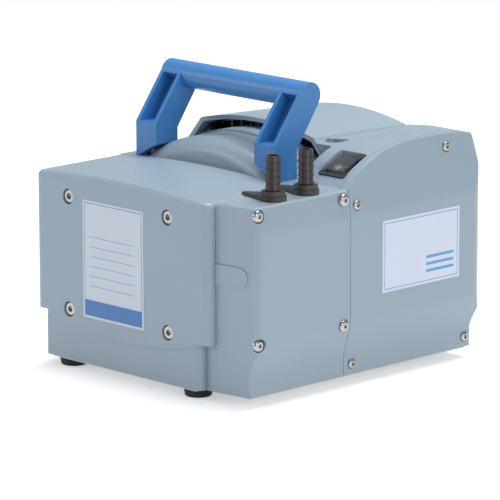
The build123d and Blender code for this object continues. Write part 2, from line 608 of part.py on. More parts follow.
def rear_end_shield():
    """Bearing plate at the motor's fan end."""
    y0, y1 = BARREL_REAR_Y + 0.2, BARREL_REAR_Y + 6.2
    body = rod_y(BARREL_R, y0, y1) + rod_y(26.0, y0 - 8, y1)
    body -= rod_y(BEARING_R, y0 - 9, y0 + 4.0)
    body -= rod_y(12.0, y0, y1 + 1)
    for i in range(8):
        hole = Pos(0, 0, 45) * Rot(90, 0, 0) * Cylinder(7.0, 30)
        body -= Pos(0, (y0 + y1) / 2, SHAFT_Z) * Rot(0, 22.5 + i * 45, 0) * hole
    return body


def bearing(y0):
    """A sealed ball bearing on the motor shaft: outer ring, inner ring, seals and balls."""
    y1 = y0 + BEARING_W
    outer = rod_y(BEARING_R, y0, y1) - rod_y(16.5, y0 - 1, y1 + 1)
    inner = rod_y(12.0, y0, y1) - rod_y(SHAFT_R, y0 - 1, y1 + 1)
    balls = []
    for i in range(8):
        angle = radians(i * 45)
        centre = (14.25 * sin(angle), y0 + BEARING_W / 2, SHAFT_Z + 14.25 * cos(angle))
        balls.append(Pos(*centre) * Sphere(2.1))
    return [outer, inner, *balls]


def crankcase():
    """Cast crankcase: rod space across, eccentric space along, bearing seat in front, legs below."""
    body = box(-LEFT_FACE_X, RIGHT_FACE_X, CRANKCASE_FRONT, CRANKCASE_REAR, CRANKCASE_LOW, CRANKCASE_HIGH)
    body = fillet(body.edges().filter_by(Axis.X), 5.0)
    body -= rod_x(BORE_R, -LEFT_FACE_X - 1, RIGHT_FACE_X + 1, CRANK_Y, SHAFT_Z)
    body -= rod_y(ECCENTRIC_SPACE_R, CRANKCASE_FRONT + 14, CRANKCASE_REAR + 1)
    body -= rod_y(BEARING_R, CRANKCASE_FRONT - 1, CRANKCASE_FRONT + BEARING_W)
    body -= rod_y(14.0, CRANKCASE_FRONT, CRANKCASE_REAR)
    leg_w, leg_d = 18.0, 12.0
    for x0, x1 in ((3 - LEFT_FACE_X, 3 - LEFT_FACE_X + leg_w), (RIGHT_FACE_X - 24 - leg_w, RIGHT_FACE_X - 24)):
        for y0 in (CRANKCASE_FRONT + 6, CRANKCASE_REAR - 4 - leg_d):
            body += box(x0, x1, y0, y0 + leg_d, CASE_Z, CRANKCASE_LOW + 6)
    # the front plate reaches past the left head, and carries the front cover's screws
    plate_x, plate_y = FRONT_SCREW_X + 9, CRANKCASE_FRONT - 0.5
    plate = box(-plate_x, plate_x, plate_y - 2.2, plate_y, FRONT_SCREW_LOW_Z - 9, FRONT_SCREW_HIGH_Z + 9)
    plate += box(1 - LEFT_FACE_X, plate_x, plate_y - 1, CRANKCASE_FRONT + 1, CRANKCASE_LOW + 6, CRANKCASE_HIGH - 6)
    body += plate - rod_y(BEARING_R - 4, plate_y - 3, CRANKCASE_FRONT + 2)
    for x in (-FRONT_SCREW_X, FRONT_SCREW_X):
        for z in (FRONT_SCREW_LOW_Z, FRONT_SCREW_HIGH_Z):
            body += rod_y(8.0, FRONT_WALL_Y + 0.2, plate_y, x, z)
            body -= rod_y(COVER_SHANK_R, FRONT_WALL_Y, plate_y + 1, x, z)
    return body - rod_y(BEARING_R, CRANKCASE_FRONT, CRANKCASE_FRONT + BEARING_W)


def base_plate():
    """Steel base plate that carries the casing, with holes for the feet."""
    inset = 2.5
    foot = HALF_X - SKIRT_DEPTH - inset
    left = LEFT_X - inset
    body = box(-left, foot, HEAD_CORNER_Y + inset, HALF_Y - REAR_BULGE - inset, FOOT_H, CASE_Z)
    tongue = box(-FRONT_FOOT_LEFT_X + 6, FRONT_FOOT_RIGHT_X - 6, -HALF_Y + 4, HEAD_CORNER_Y + 9, FOOT_H, CASE_Z)
    body += tongue
    for y, z in LEFT_SCREWS[2:]:
        body += box(-LEFT_LUG_X, -LEFT_LUG_X + 2, y - 7, y + 7, FOOT_H, z + 7)
        body -= rod_x(SIDE_SCREW_R * 0.5, -LEFT_LUG_X - 1, -LEFT_LUG_X + 3, y, z)
    for x, y in foot_places():
        body -= rod_z(2.6, 0, CASE_Z + 1, x, y)
    return body


def foot_places():
    """Centres of the four feet."""
    return [(x, y) for x in (-FOOT_X, FOOT_X) for y in (FOOT_FRONT_Y, FOOT_REAR_Y)]


def rubber_feet():
    """Four turned rubber feet, hollow for their screws."""
    feet = []
    for x, y in foot_places():
        foot = Pos(x, y, FOOT_H / 2) * Cone(9.2, 10.6, FOOT_H)
        foot = fillet(foot.faces().sort_by(Axis.Z)[0].edges(), 1.2)
        foot -= rod_z(5.2, -1, 4.0, x, y)
        foot -= rod_z(2.6, -1, FOOT_H + 1, x, y)
        feet.append(foot)
    return feet


def foot_screws():
    """Pan head screws up through the feet into the base plate."""
    return [rod_z(4.8, 1.2, 3.99, x, y) + rod_z(2.5, 3.99, CASE_Z + 6, x, y) for x, y in foot_places()]


def motor_saddle():
    """Two cradle blocks that carry the motor barrel on the base plate."""
    blocks = []
    for y0 in (10.0, 60.0):
        block = box(-40, 40, y0, y0 + 14, CASE_Z, SHAFT_Z - 50)
        blocks.append(block - rod_y(BARREL_R, y0 - 1, y0 + 15))
    return blocks


# ---------------------------------------------------------------- turning parts
def motor_shaft():
    """The motor shaft, from the front bearing to the fan."""
    return rod_y(SHAFT_R, CRANKCASE_FRONT - 3, BARREL_REAR_Y + 26)


def rotor_core():
    """Squirrel-cage rotor with its end rings."""
    core = rod_y(35.0, 6.0, 66.0) + rod_y(32.0, 0.0, 72.0)
    return core - rod_y(SHAFT_R, -1, 73)


def eccentric():
    """Eccentric bush with its counterweight. Both rods run on it."""
    y0, y1 = CRANK_Y - ROD_W - 1.2, CRANK_Y + ROD_W + 1.2
    bush = rod_y(ECCENTRIC_R, y0, y1, THROW)
    weight = rod_y(28.0, y1, y1 + 9) & box(-40, 2, y1, y1 + 9, 0, 200)
    hub = rod_y(16.0, y1, y1 + 9)
    return bush + weight + hub - rod_y(SHAFT_R, y0 - 1, y1 + 10)


def fan():
    """Axial cooling fan on the rear end of the shaft."""
    y0, y1 = BARREL_REAR_Y + 10, BARREL_REAR_Y + 24
    hub = rod_y(18.0, y0, y1)
    blades = 9
    blade = Pos(0, (y0 + y1) / 2, 38.0) * Rot(0, 0, 35) * Box(1.8, 15.0, 44.0)
    for i in range(blades):
        hub += Pos(0, 0, SHAFT_Z) * Rot(0, i * 360 / blades, 0) * blade
    hub += rod_y(20, y0, y0 + 3)
    return hub - rod_y(SHAFT_R, y0 - 5, y1 + 5)


# ---------------------------------------------------------------- pump head, right side
def connecting_rod(side, face):
    """A rod with its eye on the eccentric and the support disc that carries the diaphragm."""
    y = CRANK_Y + side * (ROD_W / 2 + 0.4)
    y0, y1 = y - ROD_W / 2, y + ROD_W / 2
    eye = rod_y(ROD_EYE_R, y0, y1)
    shank = box(12, face - 4, y0 + 1, y1 - 1, SHAFT_Z - 9, SHAFT_Z + 9)
    disc = rod_x(SUPPORT_R, face - 5, face, CRANK_Y, SHAFT_Z)
    neck = rod_x(11.0, face - 14, face - 4, CRANK_Y, SHAFT_Z)
    body = eye + shank + neck + disc
    body -= rod_y(ROD_BEARING_R, y0 - 1, y1 + 1)
    return body - rod_x(STUD_R, face - STUD_DEPTH - 2, face + 1, CRANK_Y, SHAFT_Z)


def rod_bearing(side):
    """Needle sleeve between the eccentric and a rod eye."""
    y = CRANK_Y + side * (ROD_W / 2 + 0.4)
    y0, y1 = y - ROD_W / 2, y + ROD_W / 2
    return rod_y(ROD_BEARING_R, y0, y1) - rod_y(ECCENTRIC_R + RUN, y0 - 1, y1 + 1)


def clamping_disc(face):
    """Diaphragm clamping disc with its stud. It screws into the rod."""
    x0 = face + DIAPHRAGM_T
    disc = rod_x(CLAMP_R, x0, x0 + 3.5, CRANK_Y, SHAFT_Z)
    disc = fillet(disc.faces().sort_by(Axis.X)[-1].edges(), 2.5)
    return disc + rod_x(STUD_R, face - STUD_DEPTH, x0, CRANK_Y, SHAFT_Z)


def diaphragm(shift, face):
    """Rubber diaphragm: a clamped rim, a rolled convolution and a flat middle moved by the rod."""
    mid0, mid1 = face + shift, face + shift + DIAPHRAGM_T
    rim0, rim1 = face, face + DIAPHRAGM_T
    profile = [
        (mid0, STUD_R),
        (mid0, SUPPORT_R + 0.5),
        (rim0, BORE_R - 0.5),
        (rim0, DIAPHRAGM_R),
        (rim1, DIAPHRAGM_R),
        (rim1, BORE_R - 1.5),
        (mid1, SUPPORT_R - 0.5),
        (mid1, STUD_R),
    ]
    ring = revolve(make_face(Polyline(*profile, close=True)), Axis.X)
    return Pos(0, CRANK_Y, SHAFT_Z) * ring


def head_housing(face):
    """A head housing: pump chamber, two valve pockets and ports that run up and down."""
    x0, x1, port_x = face + DIAPHRAGM_T, face + DIAPHRAGM_T + HEAD_T, face + PORT_REACH
    half = CRANKCASE_Y / 2
    body = box(x0, x1, CRANK_Y - half, CRANK_Y + half, SHAFT_Z - half, SHAFT_Z + half)
    body = fillet(body.edges().filter_by(Axis.X), 8.0)
    body -= rod_x(BORE_R - 1.0, x0 - 1, x0 + CHAMBER_T, CRANK_Y, SHAFT_Z)
    pocket_x = valve_x(face)
    for y in NOZZLE_YS:
        body -= rod_x(VALVE_R + 0.4, pocket_x - 0.2, pocket_x + VALVE_T + VALVE_LIFT + 0.2, y, SHAFT_Z)
        body -= rod_x(PORT_R, x0, port_x, y, SHAFT_Z)
        body -= rod_z(PORT_R, SHAFT_Z - half - 1, SHAFT_Z, port_x, y)
    for y, z in head_bolt_places():
        body -= rod_x(HEAD_BOLT_R + RUN, x0 - 1, x1 + 1, y, z)
    return body


def right_head_housing():
    """The right head housing, with seats for the nozzles and lugs for its cover's screws."""
    body = head_housing(RIGHT_FACE_X)
    half = CRANKCASE_Y / 2
    for y in NOZZLE_YS:
        body -= rod_z(PORT_R, SHAFT_Z, SHAFT_Z + half + 1, NOZZLE_X, y)
        body -= rod_z(SPIGOT_R, SHAFT_Z + half - 8, SHAFT_Z + half + 1, NOZZLE_X, y)
    for y, z in HEAD_SCREWS:
        corner_y = CRANK_Y + (30.0 if y > CRANK_Y else -30.0)
        corner_z = SHAFT_Z + (30.0 if z > SHAFT_Z else -30.0)
        y0, y1 = sorted((y, corner_y))
        z0, z1 = sorted((z, corner_z))
        lug = box(HEAD_X1 - 14, HEAD_X1, y0, y1, z0, z1) + rod_x(LUG_R, HEAD_X1 - 14, HEAD_X1, y, z)
        body += lug & head_solid(SHELL_WALL + SEAM)
        body -= rod_x(PLATE_SCREW_R * 0.5, HEAD_X1 - 13, HEAD_X1 + 1, y, z)
    for y, z in head_bolt_places():
        body -= rod_x(HEAD_BOLT_R + RUN, RIGHT_FACE_X, HEAD_X1 + 1, y, z)
    return body


def head_bolt_places():
    """Centres of the four bolts that hold a head housing to the crankcase."""
    reach = 32.0
    return [(CRANK_Y + sy * reach, SHAFT_Z + sz * reach) for sy in (-1, 1) for sz in (-1, 1)]


def head_bolts(face):
    """Bolts that clamp a head housing on the crankcase."""
    x0, x1 = face + DIAPHRAGM_T + 0.2, face + DIAPHRAGM_T + HEAD_T
    places = head_bolt_places()
    return [rod_x(HEAD_BOLT_R, x0, x1, y, z) + rod_x(4.6, x1, x1 + 2.0, y, z) for y, z in places]


def valve_x(face):
    """Where a head's valve discs lie at rest."""
    return face + DIAPHRAGM_T + CHAMBER_T + 5.0


def valve_disc(y, face):
    """A valve disc lying on its seat in its pocket."""
    return rod_x(VALVE_R, valve_x(face), valve_x(face) + VALVE_T, y, SHAFT_Z)


def hose_nozzle(y):
    """Hose nozzle with barbs, a flange that tapers to a low tail, and a spigot for the head."""
    tail = FLANGE_R * 0.94
    tip_x, tip_half = -TAIL_REACH, 1.6
    teardrop = Circle(FLANGE_R) + make_face(
        Polyline((-3, -tail), (tip_x, -tip_half), (tip_x, tip_half), (-3, tail), close=True)
    )
    flange = extrude(Pos(NOZZLE_X, y, HEAD_TOP_Z) * teardrop, FLANGE_H)
    ramp = [(tip_x - 1, 1.8), (-FLANGE_R, FLANGE_H), (-FLANGE_R, FLANGE_H + 5), (tip_x - 1, FLANGE_H + 5)]
    ramp_face = Plane.XZ.offset(-y - 20) * make_face(Polyline(*ramp, close=True))
    flange -= Pos(NOZZLE_X, 0, HEAD_TOP_Z) * extrude(ramp_face, 40, dir=(0, -1, 0))
    boss = rod_z(FLANGE_R - 0.9, HEAD_TOP_Z, STEM_Z, NOZZLE_X, y)
    flange += fillet(boss.faces().sort_by(Axis.Z)[-1].edges(), 0.8)
    body = flange + rod_z(SPIGOT_R, SHAFT_Z + CRANKCASE_Y / 2 - 8, HEAD_TOP_Z, NOZZLE_X, y)
    neck_top = STEM_Z + BARB_PITCH * BARBS
    body += rod_z(BARB_R - 1.2, STEM_Z - 0.5, neck_top, NOZZLE_X, y)
    for i in range(BARBS):
        low = STEM_Z + 0.9 + i * BARB_PITCH
        barb_h = BARB_PITCH - 0.9
        body += Pos(NOZZLE_X, y, low + barb_h / 2) * Cone(BARB_R, BARB_R - 0.7, barb_h)
    return body - rod_z(NOZZLE_BORE_R, SHAFT_Z + CRANKCASE_Y / 2 - 9, neck_top + 5, NOZZLE_X, y)


def transfer_tube(y):
    """A tube that joins the right head to the left head under the crankcase."""
    low = 26.0
    z0 = SHAFT_Z - CRANKCASE_Y / 2 - 0.05
    left, right = -LEFT_FACE_X - PORT_REACH, RIGHT_FACE_X + PORT_REACH
    path = FilletPolyline((left, y, z0), (left, y, low), (right, y, low), (right, y, z0), radius=14)
    start = Plane(origin=(left, y, z0), z_dir=(0, 0, -1))
    return sweep(start * Circle(4.0), path=path) - sweep(start * Circle(2.6), path=path)


# ---------------------------------------------------------------- handle
def handle():
    """Carrying handle: two leaning channel legs and a round bar."""
    lean = (BAR_Y - BAR_R + 1.2, BAR_Z + 4.0)
    leg_points = [
        (HANDLE_FRONT_Y, HANDLE_BASE_Z),
        (HANDLE_FRONT_Y, HANDLE_KNEE_Z),
        lean,
        (BAR_Y, BAR_Z + 2),
        (BAR_Y + BAR_R - 1.5, BAR_Z - 5.5),
        (HANDLE_BACK_Y, HANDLE_KNEE_Z - 5),
        (HANDLE_BACK_Y, HANDLE_BASE_Z),
    ]
    leg = along_x(leg_points, HANDLE_IN_X, HANDLE_OUT_X)
    pocket_points = [
        (HANDLE_FRONT_Y - 6, HANDLE_KNEE_Z),
        (HANDLE_FRONT_Y + 15, HANDLE_KNEE_Z),
        (BAR_Y - 2.5, BAR_Z - 4),
        (BAR_Y - 14, BAR_Z + 4),
    ]
    pocket = along_x(pocket_points, HANDLE_IN_X + WEB_T, HANDLE_OUT_X - WEB_T)
    leg = leg + rod_x(BAR_R, HANDLE_IN_X, HANDLE_OUT_X, BAR_Y, BAR_Z) - pocket
    bar = rod_x(BAR_R, -HANDLE_IN_X - 1, HANDLE_IN_X + 1, BAR_Y, BAR_Z)
    body = leg + mirrored(leg) + bar
    body -= hood_form(-HALF_Y, HALF_Y, 0.1)
    for sx in (-1, 1):
        x, y = handle_screw_place(sx)
        body -= rod_z(2.75, 130, HANDLE_KNEE_Z - 8, x, y)
    return body


def handle_screw_place(side):
    """Centre of the screw that holds one leg."""
    return side * (HANDLE_OUT_X - 7.0), (HANDLE_FRONT_Y + HANDLE_BACK_Y) / 2


def handle_screws():
    """Screws up through the hood into the handle legs."""
    screws = []
    for sx in (-1, 1):
        x, y = handle_screw_place(sx)
        head_z = HEAD_TOP_Z - DECK_T - 0.5
        screws.append(rod_z(2.7, head_z, HANDLE_KNEE_Z - 10, x, y) + rod_z(4.5, head_z - 3, head_z, x, y))
    return screws


# ---------------------------------------------------------------- switch and electrics
def switch_plane():
    """Plane on the box's bowed top where the switch sits."""
    slope = radians(SWITCH_SLOPE)
    return Plane(origin=(SWITCH_X, SWITCH_Y, SWITCH_Z), x_dir=(1, 0, 0), z_dir=(0, -sin(slope), cos(slope)))


def switch_bezel():
    """The switch housing: a rim on the casing and a body inside it."""
    plane = switch_plane()
    rim = extrude(plane.offset(-1.0) * RectangleRounded(SWITCH_W + 4, SWITCH_L + 4, 2), 2.6)
    body = extrude(plane.offset(-14) * Rectangle(SWITCH_W, SWITCH_L), 14)
    hollow = extrude(plane.offset(-11) * Rectangle(SWITCH_W - 3, SWITCH_L - 3), 20)
    pins = None
    for x in (-8, 8):
        for y in (-8, 8):
            pin = extrude(plane.offset(-21) * Pos(x, y) * Rectangle(0.8, 4.8), 8)
            pins = pin if pins is None else pins + pin
    pin_hole = rocker_pin(RUN, SWITCH_W / 2 - 0.9)
    return (rim + body - hollow - pin_hole) + pins


def rocker_pin(grow, reach):
    """The pin that the rocker tilts on, grown by a clearance and reaching this far each way."""
    plane = switch_plane()
    side = Plane(origin=plane.origin, x_dir=plane.y_dir, z_dir=plane.x_dir)
    section = Pos(0, ROCKER_DROP) * Circle(ROCKER_PIN_R + grow)
    return extrude(side.offset(-reach) * section, 2 * reach)


def switch_rocker():
    """Rocker with a raised rear wing, a rounded front wing and the pin it tilts on."""
    plane = switch_plane()
    half_l = SWITCH_L / 2 - 3.3
    side = Plane(origin=plane.origin, x_dir=plane.y_dir, z_dir=plane.x_dir)
    rear = Polyline((0, 1.8), (half_l, 3.6), (half_l, -1.5), (ROCKER_PIN_R, ROCKER_DROP - 2.2))
    front = Polyline((-ROCKER_PIN_R, ROCKER_DROP - 2.2), (-half_l, -1.5), (-half_l, 0.4))
    crest = ThreePointArc((-half_l, 0.4), (-half_l / 2, 2.3), (0, 1.8))
    foot = Line((ROCKER_PIN_R, ROCKER_DROP - 2.2), (-ROCKER_PIN_R, ROCKER_DROP - 2.2))
    width = SWITCH_W - 4.5
    body = extrude(side.offset(-width / 2) * make_face([rear, foot, front, crest]), width)
    return body + rocker_pin(0, width / 2 + 1.0)


def clear_cap():
    """Clear splash cap over the switch."""
    plane = switch_plane()
    outer = extrude(plane.offset(1.7) * RectangleRounded(SWITCH_W + 3, SWITCH_L + 3, 2), 4.6)
    outer = fillet(outer.faces().sort_by(Axis.Z)[-1].edges(), 1.5)
    inner = extrude(plane.offset(1.0) * RectangleRounded(SWITCH_W + 1.4, SWITCH_L + 1.4, 1.2), 4.4)
    return outer - inner


def cut_switch_hole(body):
    """Opens a box roof for the switch body."""
    plane = switch_plane()
    pad = extrude(plane.offset(-8) * RectangleRounded(SWITCH_W + 8, SWITCH_L + 8, 3), 8)
    body += pad - rear_envelope(SHELL_WALL)
    hole = extrude(plane.offset(-25) * Rectangle(SWITCH_W + 0.6, SWITCH_L + 0.6), 40)
    seat = extrude(plane.offset(-1.0) * RectangleRounded(SWITCH_W + 4.6, SWITCH_L + 4.6, 2.2), 20)
    return body - hole - seat


def power_inlet():
    """Mains inlet in the rear wall of the right box, with three pins set back in its well."""
    x, z = INLET_X, INLET_Z
    back = HALF_Y
    flange = box(x - 16, x + 16, back - 2.6, back, z - 12, z + 12)
    flange = fillet(flange.edges().filter_by(Axis.Y), 3.0)
    well = box(x - 13.5, x + 13.5, back - 20, back - 1, z - 10, z + 10)
    well = chamfer(well.edges().filter_by(Axis.Y).group_by(Axis.Z)[-1], 4.0)
    hollow = box(x - 12, x + 12, back - 17, back + 5, z - 8.3, z + 8.3)
    hollow = chamfer(hollow.edges().filter_by(Axis.Y).group_by(Axis.Z)[-1], 3.6)
    body = flange + well - hollow
    for dx, dz in ((-7, -1.5), (0, 2.5), (7, -1.5)):
        body += box(x + dx - 1, x + dx + 1, back - 24, back - 6, z + dz - 2, z + dz + 2)
    return body


def cut_inlet_hole(body):
    """Opens the right box's rear wall for the mains inlet."""
    x, z = INLET_X, INLET_Z
    body += box(x - 19, HALF_X - SIDE_COVER_T - 1, HALF_Y - 6, HALF_Y - 2, z - 14, z + 14)
    body -= box(x - 16.2, x + 16.2, HALF_Y - 2.6, HALF_Y + 1, z - 12.2, z + 12.2)
    return body - box(x - 13.7, x + 13.7, HALF_Y - 30, HALF_Y + 5, z - 10.2, z + 10.2)


def capacitor():
    """Motor capacitor, lying along Y in the right box."""
    can = rod_y(15.0, 10, 66, 99.0, 40.0)
    return fillet(can.edges().filter_by(GeomType.CIRCLE), 1.5)


def capacitor_clip():
    """Spring clip that holds the capacitor to the box's inner wall."""
    ring = rod_y(16.2, 32, 42, 99.0, 40.0) - rod_y(15.0, 31, 43, 99.0, 40.0)
    strap = box(COWL_FOOT_X + SEAM + SHELL_WALL, 84.2, 32, 42, 36, 44)
    return ring + strap - rod_y(15.0, 31, 43, 99.0, 40.0)


# ---------------------------------------------------------------- build every node
def main():
    """Builds the pieces and writes one STEP for each node."""
    write("base_plate", base_plate())
    write("rubber_feet", *rubber_feet())
    write("foot_screws", *foot_screws())
    write("front_cover", front_cover())
    write("front_cover_screws", *front_cover_screws())
    write("right_head_cover", right_head_cover())
    write("right_head_cover_screws", *head_cover_screws())
    write("left_cover", left_cover())
    write("left_cover_screws", *left_cover_screws())
    write("motor_hood", motor_hood())
    write("motor_barrel", motor_barrel())
    write("motor_saddle", *motor_saddle())
    write("stator", stator())
    write("stator_windings", *windings())
    write("rear_end_shield", rear_end_shield())
    write("front_bearing", *bearing(CRANKCASE_FRONT))
    write("middle_bearing", *bearing(CRANKCASE_REAR + 0.3))
    write("rear_bearing", *bearing(BARREL_REAR_Y + 0.2 - 8.0))
    write("crankcase", crankcase())
    write("motor_shaft", motor_shaft())
    write("rotor_core", rotor_core())
    write("eccentric", eccentric())
    write("cooling_fan", fan())
    box_right = cut_inlet_hole(cut_switch_hole(side_box()))
    write("right_side_box", box_right)
    write("right_side_lid", side_lid())
    write("right_side_lid_screws", *side_lid_screws())
    write("fan_cowl", cowl())
    write("cowl_screws", *cowl_screws())
    write("air_grille", air_grille())
    for name, side, face in (("right", 1, RIGHT_FACE_X), ("left", -1, LEFT_FACE_X)):
        flip = mirrored if side < 0 else same
        shift = Pos(THROW, 0, 0)
        write(name + "_connecting_rod", shift * flip(connecting_rod(side, face)))
        write(name + "_rod_bearing", shift * flip(rod_bearing(side)))
        write(name + "_clamping_disc", shift * flip(clamping_disc(face)))
        write(name + "_diaphragm", flip(diaphragm(side * THROW, face)))
        write(name + "_head_bolts", *[flip(bolt) for bolt in head_bolts(face)])
        for port, y in zip(("inlet", "outlet"), NOZZLE_YS):
            write(f"{name}_{port}_valve", flip(valve_disc(y, face)))
    write("right_head_housing", right_head_housing())
    write("left_head_housing", mirrored(head_housing(LEFT_FACE_X)))
    write("inlet_nozzle", hose_nozzle(NOZZLE_YS[0]))
    write("outlet_nozzle", hose_nozzle(NOZZLE_YS[1]))
    write("transfer_tubes", *[transfer_tube(y) for y in NOZZLE_YS])
    write("handle", handle())
    write("handle_screws", *handle_screws())
    write("switch_bezel", switch_bezel())
    write("switch_rocker", switch_rocker())
    write("switch_cap", clear_cap())
    write("power_inlet", power_inlet())
    write("capacitor", capacitor())
    write("capacitor_clip", capacitor_clip())


main()
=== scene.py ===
"""Looks for a two-head diaphragm vacuum pump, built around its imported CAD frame."""

import json
from math import cos, radians, sin

import bpy
from mathutils import Matrix, Vector


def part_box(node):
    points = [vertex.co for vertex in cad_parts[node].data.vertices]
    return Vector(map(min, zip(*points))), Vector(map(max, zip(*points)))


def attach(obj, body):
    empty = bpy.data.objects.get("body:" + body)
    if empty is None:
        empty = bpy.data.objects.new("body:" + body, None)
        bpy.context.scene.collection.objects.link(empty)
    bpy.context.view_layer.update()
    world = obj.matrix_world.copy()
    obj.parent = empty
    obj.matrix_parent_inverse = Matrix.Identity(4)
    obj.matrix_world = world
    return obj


bl_info = {
    "name": "Diaphragm vacuum pump",
    "version": (1, 0, 0),
    "blender": (4, 5, 0),
    "location": "View3D > Sidebar > Vacuum pump",
    "description": "Finishes, plates and studio for a two-head diaphragm vacuum pump",
    "category": "Object",
}

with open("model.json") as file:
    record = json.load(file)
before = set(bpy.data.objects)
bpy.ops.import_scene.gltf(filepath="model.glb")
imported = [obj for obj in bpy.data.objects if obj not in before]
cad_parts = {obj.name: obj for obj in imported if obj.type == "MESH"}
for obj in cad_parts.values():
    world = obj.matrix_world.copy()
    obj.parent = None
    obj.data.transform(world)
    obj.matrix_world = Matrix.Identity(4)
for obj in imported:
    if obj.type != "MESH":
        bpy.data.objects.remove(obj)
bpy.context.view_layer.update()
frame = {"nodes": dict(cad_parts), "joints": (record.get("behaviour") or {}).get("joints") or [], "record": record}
MM = 0.001

# printing on the plate: its border, and ruled rows that start a distance below its top edge
BORDER_LINE, BORDER_INSET = 0.5 * MM, 1.6 * MM
ROW_COUNT, ROW_THICKNESS = 6, 0.35 * MM
ROW_TOP, ROW_PITCH = 26.0, 7.0  # millimetres
ROW_LEFT_MARGIN, ROW_RIGHT_MARGIN = 7 * MM, 9 * MM

# printing on the side panel: its border, bars above its lower edge, and their ends from its right side
PANEL_LINE, PANEL_INSET = 0.6 * MM, 1.8 * MM
BAR_FEET, BAR_HEIGHT = (8 * MM, 13 * MM, 18 * MM), 2 * MM
BAR_START, BAR_END = 34 * MM, 6 * MM
PANEL_MIDDLE_Y, PANEL_MIDDLE_Z = 54 * MM, 88.5 * MM

# the switch lies on the casing's sloping roof; each mark lies along and above the rocker's pin
SWITCH_SLOPE = radians(21.0)
ON_ALONG, ON_UP, ON_TILT = 4.2 * MM, 4.85 * MM, radians(12.4)
OFF_ALONG, OFF_UP, OFF_TILT = -4.3 * MM, 5.45 * MM, radians(3.0)

# studio
FILL = 0.42  # strength of the world's light, and of the floor's own white where it is seen
LAMP_WIDTH = 0.9
LAMP_TARGET = (0.0, 0.0, 0.08)
CAMERA_PLACE = (2.0824, -2.0383, 0.7198)
CAMERA_AZIMUTH, CAMERA_ELEVATION, CAMERA_ROLL = 45.76, 12.39, -0.14
CAMERA_LENS, CAMERA_SENSOR = 302.4, 36.0


# ---------------------------------------------------------------- settings
def size(name, mm, description):
    """A length setting, given here in millimetres and kept in metres."""
    return bpy.props.FloatProperty(
        name=name, description=description, default=mm * MM, min=0.0, subtype="DISTANCE", unit="LENGTH"
    )


def tone(name, code, description):
    """A colour setting, given as an sRGB hex value."""
    return bpy.props.StringProperty(name=name, description=description, default=code)


class PumpSizes(bpy.types.PropertyGroup):
    """Sizes of the plates and marks that are stuck or printed on the pump."""

    plate_width: size("Plate width", 62.0, "Width of the rating plate on the front cover")
    plate_height: size("Plate height", 84.0, "Height of the rating plate on the front cover")
    plate_left: size("Plate offset", 55.3, "How far the plate's left edge is from the pump's middle")
    plate_foot: size("Plate foot height", 42.0, "Height of the plate's lower edge above the bench")
    band_height: size("Band height", 13.0, "Height of the coloured band along the plate's foot")
    panel_width: size("Panel width", 78.0, "Length of the pale panel on the right side lid")
    panel_height: size("Panel height", 51.0, "Height of the pale panel on the right side lid")
    film: size("Film thickness", 0.25, "Thickness of the plate and panel films")


class PumpColours(bpy.types.PropertyGroup):
    """Colours of the main finishes, as sRGB hex values."""

    case: tone("Case", "#94A6B2", "Colour of the moulded case")
    handle: tone("Handle", "#3F7FBE", "Colour of the carrying handle")
    nozzle: tone("Nozzle", "#39312F", "Colour of the hose nozzles")
    panel: tone("Panel", "#D0D8E8", "Colour of the pale side panel")
    plate: tone("Plate", "#C9D0DC", "Colour of the rating plate")
    ink: tone("Ink", "#4379B4", "Colour of the plate's printed ink")
    bars: tone("Bars", "#5C9CD0", "Colour of the side panel's border and bars")


# ---------------------------------------------------------------- materials
def linear(colour):
    """An sRGB hex colour as linear red, green, blue and alpha."""
    parts = [int(colour[i : i + 2], 16) / 255 for i in (1, 3, 5)]
    return [p / 12.92 if p <= 0.04045 else ((p + 0.055) / 1.055) ** 2.4 for p in parts] + [1.0]


def node(tree, kind, settings=None, links=None):
    """Adds a node, sets its attributes or sockets, and links other nodes' sockets into it."""
    made = tree.nodes.new(kind)
    for key, value in (settings or {}).items():
        if isinstance(key, str) and hasattr(made, key):
            setattr(made, key, value)
        else:
            made.inputs[key].default_value = value
    for socket, source in (links or {}).items():
        tree.links.new(source, made.inputs[socket])
    return made


def blank(name):
    """A new material with an empty node tree."""
    material = bpy.data.materials.new(name)
    material.use_nodes = True
    material.node_tree.nodes.clear()
    return material, material.node_tree


def moulded(name, colour, grain_mm, roughness, bump=0.12, drift=0.05, coat=0.0):
    """A moulded plastic or paint: its grain's size, gloss, and a slight drift of colour over the surface."""
    material, tree = blank(name)
    place = node(tree, "ShaderNodeTexCoord")
    grain = node(
        tree,
        "ShaderNodeTexNoise",
        {"Scale": 1.0 / (grain_mm * MM), "Detail": 3.0, "Roughness": 0.55},
        {"Vector": place.outputs["Object"]},
    )
    cloud = node(
        tree,
        "ShaderNodeTexNoise",
        {"Scale": 1.0 / (70.0 * MM), "Detail": 2.0},
        {"Vector": place.outputs["Object"]},
    )
    base = linear(colour)
    dark = [c * (1.0 - drift) for c in base[:3]] + [1.0]
    pale = [min(1.0, c * (1.0 + drift)) for c in base[:3]] + [1.0]
    tint = node(
        tree,
        "ShaderNodeMix",
        {"data_type": "RGBA", 6: dark, 7: pale},
        {0: cloud.outputs["Fac"]},
    )
    shine = node(
        tree,
        "ShaderNodeMapRange",
        {"To Min": roughness - 0.04, "To Max": roughness + 0.05},
        {"Value": grain.outputs["Fac"]},
    )
    relief = node(
        tree,
        "ShaderNodeBump",
        {"Strength": bump, "Distance": grain_mm * MM * 0.25},
        {"Height": grain.outputs["Fac"]},
    )
    shader = node(
        tree,
        "ShaderNodeBsdfPrincipled",
        {"Coat Weight": coat, "Coat Roughness": 0.12, "IOR": 1.5},
        {
            "Base Color": tint.outputs[2],
            "Roughness": shine.outputs["Result"],
            "Normal": relief.outputs["Normal"],
        },
    )
    node(tree, "ShaderNodeOutputMaterial", None, {"Surface": shader.outputs[0]})
    return material


